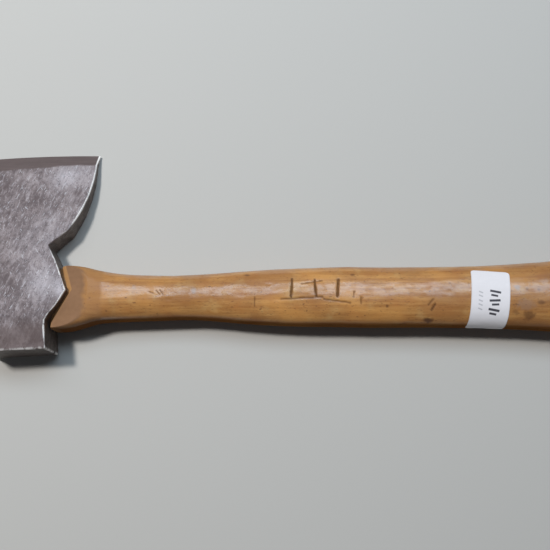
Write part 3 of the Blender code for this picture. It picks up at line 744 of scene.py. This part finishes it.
def wedge_mesh(name, x_end, x_tip, half_y, half_z_end, half_z_tip, columns=WEDGE_COLUMNS):
    """A wedge whose thickness, along Z, shrinks from x_end to x_tip, with a finely divided skin."""
    shape = [(1, t) for t in np.linspace(-1, 1, WEDGE_SIDE_COLUMNS + 1)[:-1]]
    shape += [(t, 1) for t in np.linspace(1, -1, columns + 1)[:-1]]
    shape += [(-1, t) for t in np.linspace(1, -1, WEDGE_SIDE_COLUMNS + 1)[:-1]]
    shape += [(t, -1) for t in np.linspace(-1, 1, columns + 1)[:-1]]
    across, up = np.array(shape).T

    def ring(x, half_y, half_z):
        return np.stack([np.full(len(shape), x), half_y * across, half_z * up], axis=1)

    rings = [ring(x_end, share * half_y, share * half_z_end) for share in (0.5, 1.0)]
    for x in np.linspace(x_end, x_tip, WEDGE_RINGS)[1:]:
        rings.append(ring(x, half_y, half_z_end + (half_z_tip - half_z_end) * (x - x_end) / (x_tip - x_end)))
    mesh = skin_mesh(name, np.array(rings))
    face_outwards(mesh)
    return mesh


def steel_wedge_mesh(name, side, gap):
    """A steel wedge across the eye; gap grows it into its own slot."""
    mesh = wedge_mesh(
        name,
        STEEL_END_X - SLOT_PAST_END * gap,
        STEEL_TIP_X + gap,
        STEEL_HALF_WIDTH + gap,
        STEEL_HALF_AT_END + gap,
        STEEL_HALF_AT_TIP + gap,
    )
    turn = Matrix.Rotation(math.pi / 2 - side * STEEL_TURN, 4, "X")
    mesh.transform(Matrix.Translation((0, side * STEEL_Y * MM, 0)) @ turn)
    return mesh


def make_wedges(wood, steel):
    mesh = wedge_mesh(
        "wedge",
        WEDGE_END_X,
        WEDGE_TIP_X,
        WEDGE_HALF_LENGTH,
        KERF_HALF_AT_END - FIT_GAP,
        KERF_HALF_AT_ROOT - FIT_GAP,
        columns=WOOD_WEDGE_COLUMNS,
    )
    mesh = cut_away(mesh, *(steel_wedge_mesh("slot", side, FIT_GAP) for side in (1, -1)))
    lay_down(mesh, in_head_frame=True)
    add_piece("eye_wedge_grain", mesh, "eye_wedge", wood, smooth_angle=30.0)
    for side, name in ((1, "steel_wedge_front"), (-1, "steel_wedge_back")):
        mesh = steel_wedge_mesh(name, side, 0.0)
        lay_down(mesh, in_head_frame=True)
        add_piece(name + "_rusted", mesh, name, steel, smooth_angle=30.0)


# ---- label


def make_label(material):
    """The paper label as a thin sheet with round corners, on the haft's skin."""
    lengths = np.linspace(0.0, LABEL_LENGTH, LABEL_ROWS + 1)
    from_end = np.minimum(np.minimum(lengths, LABEL_LENGTH - lengths), LABEL_CORNER)
    half = LABEL_WIDTH / 2 - (LABEL_CORNER - np.sqrt(LABEL_CORNER**2 - (LABEL_CORNER - from_end) ** 2))
    across = np.linspace(-1, 1, LABEL_COLUMNS + 1)[None, :] * half[:, None]
    down = np.repeat(lengths[:, None], LABEL_COLUMNS + 1, axis=1)
    x = LABEL_X + across * math.cos(LABEL_TURN) - (down - LABEL_LENGTH / 2) * math.sin(LABEL_TURN)
    round_skin = down * math.cos(LABEL_TURN) + (across + LABEL_WIDTH / 2) * math.sin(LABEL_TURN)
    angle = wrap_angles(x, round_skin)
    skin = haft_point(x, angle)
    tangent = haft_point(x, angle + TANGENT_STEP) - haft_point(x, angle - TANGENT_STEP)
    normal = np.stack([np.zeros_like(x), tangent[..., 2], -tangent[..., 1]], axis=-1)
    normal /= np.linalg.norm(normal, axis=-1, keepdims=True)
    wear = haft_wear(skin)
    creases = CREASE_HEIGHT * waves(skin, CREASE_SIZE, CREASE_SEED)
    under = skin + normal * (LABEL_LIFT + np.maximum(wear, LABEL_SINK) + np.abs(creases))[..., None]
    over = under + normal * LABEL_THICKNESS
    mesh = sheet_mesh("label", np.concatenate([under, over[:, ::-1]], axis=1))
    for name, flat in (("across", across), ("down", down)):
        store(mesh, name, np.concatenate([flat, flat[:, ::-1]], axis=1).ravel())
    face_outwards(mesh)
    lay_down(mesh)
    add_piece("paper_label_printed", mesh, "paper_label", material, smooth_angle=50.0)


def sheet_mesh(name, grid):
    """A closed thin sheet from rings that go out along its underside and back along its top."""
    index, _, faces = ring_faces(grid)
    around = index.shape[1]
    for ring, flip in ((index[0], True), (index[-1], False)):
        for i in range(around // 2 - 1):
            quad = [ring[i], ring[i + 1], ring[around - 2 - i], ring[around - 1 - i]]
            faces.append(quad[::-1] if flip else quad)
    return new_mesh(name, grid.reshape(-1, 3), faces)


def wrap_angles(x, distance):
    """The section angle at each x that lies this far round the skin from the label's first edge."""
    angle = np.arccos(LABEL_START_Y / haft_profile(x)[0])
    fine = np.linspace(0.0, np.pi, WRAP_STEPS)
    turns = angle[..., None] + fine
    y, z = haft_section(np.repeat(x[..., None], len(fine), axis=-1), turns)
    walked = np.cumsum(np.hypot(np.diff(y, axis=-1), np.diff(z, axis=-1)), axis=-1)
    steps = np.sum(walked < distance[..., None], axis=-1)
    return angle + fine[steps]


# ---- materials


class Shader:
    """A Principled material with short calls for the nodes that feed it. Lengths are in millimetres."""

    def __init__(self, name):
        self.material = bpy.data.materials.new(name)
        self.material.use_nodes = True
        self.tree = self.material.node_tree
        self.main = self.tree.nodes["Principled BSDF"]
        place = self.add("ShaderNodeTexCoord").outputs["Object"]
        grown = self.add("ShaderNodeVectorMath", {0: place, "Scale": 1.0 / MM}, operation="SCALE")
        self.place = grown.outputs[0]

    def add(self, kind, inputs=None, **settings):
        """A new node with these settings, and these inputs linked or set."""
        node = self.tree.nodes.new(kind)
        for key, value in settings.items():
            setattr(node, key, value)
        for key, value in (inputs or {}).items():
            self.put(node.inputs[key], value)
        return node

    def put(self, target, value):
        """Links a socket, or sets a plain value."""
        if isinstance(value, bpy.types.NodeSocket):
            self.tree.links.new(value, target)
        else:
            target.default_value = value

    def read(self, attribute):
        return self.add("ShaderNodeAttribute", attribute_name=attribute).outputs["Fac"]

    def stretched(self, scale, turn=(0.0, 0.0, 0.0)):
        """Places for a noise, scaled along each axis."""
        inputs = {"Vector": self.place, "Scale": scale, "Rotation": turn}
        return self.add("ShaderNodeMapping", inputs).outputs[0]

    def slanted(self, lengths, turn):
        """Places for a noise whose lumps have these lengths, turned about Z."""
        inputs = {"Vector": self.place, "Scale": lengths, "Rotation": (0.0, 0.0, turn)}
        return self.add("ShaderNodeMapping", inputs, vector_type="TEXTURE").outputs[0]

    def noise(self, size, detail, roughness, place=None, distortion=0.0):
        inputs = {"Vector": place or self.place, "Scale": 1.0 / size, "Detail": detail}
        inputs.update(Roughness=roughness, Distortion=distortion)
        return self.add("ShaderNodeTexNoise", inputs).outputs["Fac"]

    def math(self, operation, first, second=0.0):
        return self.add("ShaderNodeMath", {0: first, 1: second}, operation=operation).outputs[0]

    def between(self, value, low, high):
        """0 below low, 1 above high, smooth between them. low may be above high."""
        if low > high:
            return self.math("SUBTRACT", 1.0, self.between(value, high, low))
        inputs = {"Value": value, "From Min": low, "From Max": high}
        return self.add("ShaderNodeMapRange", inputs, interpolation_type="SMOOTHSTEP").outputs["Result"]

    def span(self, value, low, high):
        """A 0 to 1 value mapped to low to high."""
        inputs = {"Value": value, "To Min": low, "To Max": high}
        return self.add("ShaderNodeMapRange", inputs).outputs["Result"]

    def highest(self, values):
        """The highest of any number of sockets."""
        return functools.reduce(lambda first, second: self.math("MAXIMUM", first, second), values)

    def mix(self, share, first, second):
        first, second = (v if isinstance(v, bpy.types.NodeSocket) else (*v, 1.0) for v in (first, second))
        return self.add("ShaderNodeMix", {"Factor": share, 6: first, 7: second}, data_type="RGBA").outputs[2]

    def cover(self, base, mask, strength, colour):
        """The base colour with another laid over it, this strongly where the mask is 1."""
        return self.mix(self.math("MULTIPLY", mask, strength), base, colour)

    def bump(self, height, distance):
        return self.add("ShaderNodeBump", {"Height": height, "Distance": distance * MM}).outputs[0]

    def finish(self, colour, roughness, normal, **constants):
        self.put(self.main.inputs["Base Color"], colour)
        self.put(self.main.inputs["Roughness"], roughness)
        self.put(self.main.inputs["Normal"], normal)
        for name, value in constants.items():
            self.main.inputs[name.replace("_", " ")].default_value = value
        return self.material


def worn_steel():
    """Forged steel under a mottled grey-mauve patina, with worn edges shown as a painted near-white
    highlight, lighter patches that over the ear are painted reflection, and painted shade on its side walls
    and poll end.
    """
    s = Shader("worn_steel")
    broad = s.noise(15.0, 4.0, 0.6)
    blotch = s.noise(1.0, 4.0, 0.62, s.slanted((3.0, 6.0, 4.0), math.radians(-14)), 0.6)
    streaks = s.noise(1.0, 3.0, 0.6, s.slanted((1.25, 4.4, 3.0), math.radians(-12)), 0.8)
    speckle = s.noise(0.9, 3.0, 0.6)
    nicks = s.noise(1.0, 1.0, 0.5, s.slanted((0.55, 4.6, 3.0), math.radians(-24)), 0.3)
    cross = s.noise(1.0, 1.0, 0.5, s.slanted((0.55, 3.6, 3.0), math.radians(34)), 0.3)
    along, patina_and_sheen = s.read("along"), s.read("patina_and_sheen")
    tone = s.math("ADD", s.math("MULTIPLY", broad, 0.45), s.math("MULTIPLY", blotch, 0.55))
    patina = s.mix(s.between(tone, 0.38, 0.64), (0.185, 0.143, 0.143), (0.400, 0.335, 0.337))
    # lighter and darker patina patches, the bright ones over the ear a painted reflection
    patina = s.mix(s.span(patina_and_sheen, 0.0, 0.70), patina, (0.720, 0.655, 0.685))
    patina = s.mix(s.span(s.math("MULTIPLY", patina_and_sheen, -1.0), 0.0, 0.62), patina, (0.165, 0.130, 0.130))
    patina = s.cover(patina, s.between(streaks, 0.52, 0.72), 0.42, (0.665, 0.590, 0.610))
    patina = s.cover(patina, s.between(streaks, 0.47, 0.30), 0.5, (0.150, 0.118, 0.122))  # dark streaks
    scratch = s.math("MAXIMUM", s.between(nicks, 0.66, 0.73), s.between(cross, 0.69, 0.76))
    patina = s.cover(patina, scratch, 0.6, (0.80, 0.78, 0.82))  # bright scratches
    patina = s.cover(patina, s.between(speckle, 0.44, 0.34), 0.6, (0.105, 0.088, 0.090))  # pits
    ragged = s.math("MULTIPLY", s.math("SUBTRACT", blotch, 0.5), 9.0)
    on_poll = s.between(s.math("ADD", along, ragged), -13.0, -21.0)
    struck = s.mix(s.between(tone, 0.35, 0.65), (0.168, 0.122, 0.116), (0.245, 0.186, 0.178))
    grinding = s.noise(1.0, 3.0, 0.6, s.stretched((0.05, 0.8, 0.8)))
    ground = s.mix(grinding, (0.142, 0.108, 0.104), (0.228, 0.174, 0.166))
    colour = s.cover(patina, on_poll, 0.85, struck)
    colour = s.mix(s.read("ground"), colour, ground)
    # Painted shade: the side walls dark brown and the poll's end face near black, as if out of the light
    shaded_flank = s.mix(s.between(blotch, 0.38, 0.64), (0.118, 0.094, 0.080), (0.205, 0.170, 0.148))
    shaded_flank = s.cover(shaded_flank, s.between(speckle, 0.46, 0.36), 0.5, (0.095, 0.066, 0.050))
    shaded_end_face = s.between(along, POLL_Y + 0.9, POLL_Y + 0.4)
    shaded_flank = s.cover(shaded_flank, shaded_end_face, 0.85, (0.040, 0.031, 0.027))
    colour = s.cover(colour, s.read("shaded_wall"), 0.85, shaded_flank)
    # Worn edges as a painted near-white highlight, with less metal in them so the white shows under the
    # diffuse light
    edge = s.math("MULTIPLY", s.read("edge"), s.span(s.between(blotch, 0.35, 0.58), 0.55, 1.0))
    worn_edge_highlight = s.between(edge, 0.20, 0.60)
    colour = s.mix(worn_edge_highlight, colour, (1.0, 0.97, 0.95))
    rough = s.span(s.math("SUBTRACT", tone, s.math("MULTIPLY", edge, 0.4)), 0.62, 0.42)
    height = s.math("ADD", blotch, s.math("MULTIPLY", speckle, 0.4))
    height = s.math("ADD", height, s.math("MULTIPLY", streaks, 0.5))
    s.put(s.main.inputs["Metallic"], s.span(worn_edge_highlight, 0.45, 0.15))
    return s.finish(colour, rough, s.bump(height, 0.09))


def varnished_wood():
    """Close-grained wood under an old orange varnish, with flecks, dirty cuts, dull planed cheeks, painted
    shade on its underside and a lighter V chamfer with a painted highlight.
    """
    s = Shader("varnished_wood")
    streak = s.noise(1.0, 4.0, 0.6, s.stretched((0.014, 0.40, 0.40)), 0.3)
    fibre = s.noise(1.0, 3.0, 0.65, s.stretched((0.07, 3.0, 3.0)))
    cloud = s.noise(10.0, 3.0, 0.55)
    flecks = s.noise(1.0, 2.0, 0.5, s.stretched((0.55, 2.0, 2.0)))
    patches = s.noise(1.0, 4.0, 0.62, s.stretched((0.16, 0.30, 0.30)), 0.4)
    spots = s.noise(1.0, 2.0, 0.5, s.stretched((0.42, 0.65, 0.65)))
    tan_patch = s.noise(1.0, 2.0, 0.5, s.stretched((0.035, 0.075, 0.075)))
    colour = s.mix(s.between(streak, 0.30, 0.70), (0.360, 0.148, 0.036), (0.560, 0.278, 0.085))
    colour = s.cover(colour, s.between(fibre, 0.35, 0.75), 0.25, (0.62, 0.36, 0.15))  # pale fibres
    colour = s.cover(colour, s.between(cloud, 0.48, 0.72), 0.5, (0.42, 0.160, 0.042))  # deeper orange clouds
    colour = s.cover(colour, s.between(cloud, 0.46, 0.28), 0.45, (0.58, 0.365, 0.145))  # faded clouds
    colour = s.cover(colour, s.between(flecks, 0.60, 0.69), 0.6, (0.17, 0.065, 0.022))  # grain flecks
    colour = s.cover(colour, s.between(tan_patch, 0.50, 0.64), 0.45, (0.31, 0.130, 0.040))  # brown patches
    colour = s.cover(colour, s.between(tan_patch, 0.48, 0.34), 0.45, (0.66, 0.315, 0.085))  # orange patches
    colour = s.cover(colour, s.between(spots, 0.685, 0.73), 0.65, (0.12, 0.050, 0.022))  # small dark spots
    # darker towards the neck and the knob
    colour = s.cover(colour, s.read("darkening"), 0.33, (0.20, 0.085, 0.030))
    planed, inside, low, cut = s.read("planed"), s.read("inside"), s.read("low"), s.read("cut")
    bare = s.mix(s.between(cloud, 0.3, 0.7), (0.215, 0.122, 0.072), (0.275, 0.158, 0.094))
    handled = s.read("handled")
    colour = s.cover(colour, handled, 0.55, (0.310, 0.165, 0.082))
    colour = s.cover(colour, planed, 0.9, bare)
    # lighter V chamfer: worn bare wood, with a painted highlight strongest on the side towards the light
    colour = s.cover(colour, s.read("chamfer_highlight_and_wear"), 0.5, (0.50, 0.28, 0.12))
    # painted shade on the haft's underside and on its side towards the poll
    colour = s.cover(colour, low, 0.72, (0.12, 0.044, 0.015))
    colour = s.cover(colour, s.read("smudge"), 0.7, (0.26, 0.235, 0.24))
    colour = s.cover(colour, s.read("stain"), 0.9, (0.090, 0.032, 0.012))
    colour = s.cover(colour, cut, 0.82, (0.085, 0.040, 0.022))
    colour = s.cover(colour, inside, 0.75, (0.16, 0.085, 0.045))
    dull = s.math("MAXIMUM", s.math("MAXIMUM", planed, inside), s.math("MAXIMUM", low, cut))
    dull = s.math("MAXIMUM", dull, s.math("MULTIPLY", handled, 0.8))
    worn = s.math("MAXIMUM", dull, s.math("MULTIPLY", s.between(patches, 0.44, 0.64), 0.55))
    s.put(s.main.inputs["Coat Weight"], s.span(worn, 0.9, 0.0))
    s.put(s.main.inputs["Specular IOR Level"], s.span(dull, 0.5, 0.0))
    height = s.math("MULTIPLY", fibre, 0.4)
    height = s.math("ADD", height, s.math("MULTIPLY", s.between(flecks, 0.72, 0.6), 0.6))
    roughness, normal = s.span(worn, 0.42, 0.68), s.bump(height, 0.04)
    return s.finish(colour, roughness, normal, Coat_Roughness=0.21, Coat_IOR=1.65)


def end_grain_wood():
    """Bare, dirty end grain of the wooden wedge."""
    s = Shader("end_grain_wood")
    rings = s.noise(1.0, 3.0, 0.6, s.stretched((0.6, 0.5, 2.4), (0.3, 0.0, 0.0)))
    pores = s.noise(0.5, 2.0, 0.5)
    colour = s.mix(s.between(rings, 0.3, 0.7), (0.20, 0.115, 0.055), (0.38, 0.25, 0.13))
    colour = s.cover(colour, s.between(pores, 0.58, 0.66), 0.8, (0.07, 0.04, 0.02))
    return s.finish(colour, s.span(rings, 0.6, 0.85), s.bump(pores, 0.12))


def rusted_steel():
    """Dark steel with brown rust."""
    s = Shader("rusted_steel")
    rust = s.noise(1.6, 4.0, 0.65)
    colour = s.mix(s.between(rust, 0.42, 0.6), (0.085, 0.075, 0.070), (0.22, 0.105, 0.05))
    return s.finish(colour, s.span(rust, 0.45, 0.8), s.bump(rust, 0.15), Metallic=0.6)


def printed_paper():
    """White label paper with a few abstract printed strokes and a little grime at its rim."""
    s = Shader("printed_paper")
    across, down = s.read("across"), s.read("down")
    fibres = s.noise(0.35, 3.0, 0.6)
    paper = s.mix(fibres, (0.765, 0.740, 0.770), (0.830, 0.805, 0.835))
    beside = s.math("ABSOLUTE", across)
    from_middle = s.math("ABSOLUTE", s.math("SUBTRACT", down, LABEL_LENGTH / 2))
    rim = s.math("MAXIMUM", beside, s.math("SUBTRACT", from_middle, (LABEL_LENGTH - LABEL_WIDTH) / 2))
    paper = s.cover(paper, s.between(rim, 9.9, 10.6), 0.4, (0.50, 0.48, 0.47))  # grime at the rim
    ink = s.highest(stroke_mask(s, across, down, *stroke) for stroke in STROKES)
    colour = s.cover(paper, ink, 0.93, (0.012, 0.010, 0.020))
    faint = s.highest(stroke_mask(s, across, down, *stroke) for stroke in FAINT_STROKES)
    colour = s.cover(colour, faint, 0.5, (0.28, 0.28, 0.31))
    return s.finish(colour, 0.55, s.bump(fibres, 0.02))


def stroke_mask(s, across, down, u, v, length, width, lean):
    """1 inside one printed stroke: a soft-edged bar centred at (u, v), length across, leaning a little."""
    du, dv = s.math("SUBTRACT", across, u), s.math("SUBTRACT", down, v)
    run = s.math("ADD", s.math("MULTIPLY", du, math.cos(lean)), s.math("MULTIPLY", dv, math.sin(lean)))
    off = s.math("SUBTRACT", s.math("MULTIPLY", dv, math.cos(lean)), s.math("MULTIPLY", du, math.sin(lean)))
    inside_run = s.between(s.math("ABSOLUTE", run), length / 2 + STROKE_BLUR, length / 2 - STROKE_BLUR)
    inside_off = s.between(s.math("ABSOLUTE", off), width / 2 + STROKE_BLUR, width / 2 - STROKE_BLUR)
    return s.math("MULTIPLY", inside_run, inside_off)


# ---- studio


def make_floor():
    """A wide pale floor just under the axe."""
    floor_z = min(cad_low[2], 0.0) - FLOOR_GAP
    mesh = bpy.data.meshes.new("floor")
    corners = [(x * FLOOR_REACH, y * FLOOR_REACH, floor_z) for x, y in ((-1, -1), (1, -1), (1, 1), (-1, 1))]
    mesh.from_pydata(corners, [], [(0, 1, 2, 3)])
    floor = new_object("floor", mesh)
    material = bpy.data.materials.new("pale_floor")
    material.use_nodes = True
    shader = material.node_tree.nodes["Principled BSDF"]
    shader.inputs["Base Color"].default_value = (0.54, 0.53, 0.51, 1.0)
    shader.inputs["Roughness"].default_value = 0.9
    mesh.materials.append(material)


def add_light(name, place, aim, size, power, colour, mirrored=True):
    """An area light. One that isn't mirrored lights the axe but leaves no hot spot in its gloss."""
    light = bpy.data.lights.new(name, "AREA")
    light.shape = "RECTANGLE"
    light.size, light.size_y = size
    light.energy = power
    light.color = colour
    lamp = new_object(name, light)
    lamp.location = place
    lamp.rotation_euler = (Vector(place) - Vector(aim)).to_track_quat("Z", "Y").to_euler()
    lamp.visible_glossy = mirrored


def make_studio():
    """A small key from the head's side, a weak sheen for the steel, a broad cool sky and a dim surround."""
    x, y = (cad_low[0] + cad_high[0]) / 2, (cad_low[1] + cad_high[1]) / 2
    add_light("key", place=(x - 0.56, y + 0.33, 1.15), aim=(x, y, 0.0), size=(0.16, 0.16), power=12.0,
              colour=(1.0, 0.97, 0.93), mirrored=False)
    add_light("sheen", place=(x - 0.70, y + 0.75, 1.0), aim=(0.0, 0.04, 0.0), size=(0.4, 0.4), power=0.8,
              colour=(1.0, 0.95, 0.96))
    x, y = x + 0.13, y + 0.58
    add_light("sky", place=(x, y, 1.0), aim=(x, y, 0.0), size=(1.2, 0.5), power=7.6, colour=(0.7, 0.86, 1.0))
    world = bpy.data.worlds.new("surround")
    world.use_nodes = True
    background = world.node_tree.nodes["Background"]
    background.inputs["Color"].default_value = (0.80, 0.84, 0.90, 1.0)
    background.inputs["Strength"].default_value = 0.07
    bpy.context.scene.world = world
    bpy.context.scene.view_settings.view_transform = "Standard"


def make_camera():
    """Looking down on the axe from over the middle of its haft, leaning 10 degrees towards the edge."""
    camera = new_object("camera", bpy.data.cameras.new("camera"))
    camera.data.lens = CAMERA_LENS
    camera.data.sensor_width = CAMERA_SENSOR
    camera.data.clip_start = CAMERA_NEAR
    camera.location = CAMERA_PLACE
    camera.rotation_euler = (CAMERA_LEAN, 0.0, 0.0)
    bpy.context.scene.camera = camera


make_head(worn_steel())
make_haft(varnished_wood())
make_wedges(end_grain_wood(), rusted_steel())
make_label(printed_paper())
make_floor()
make_studio()
make_camera()
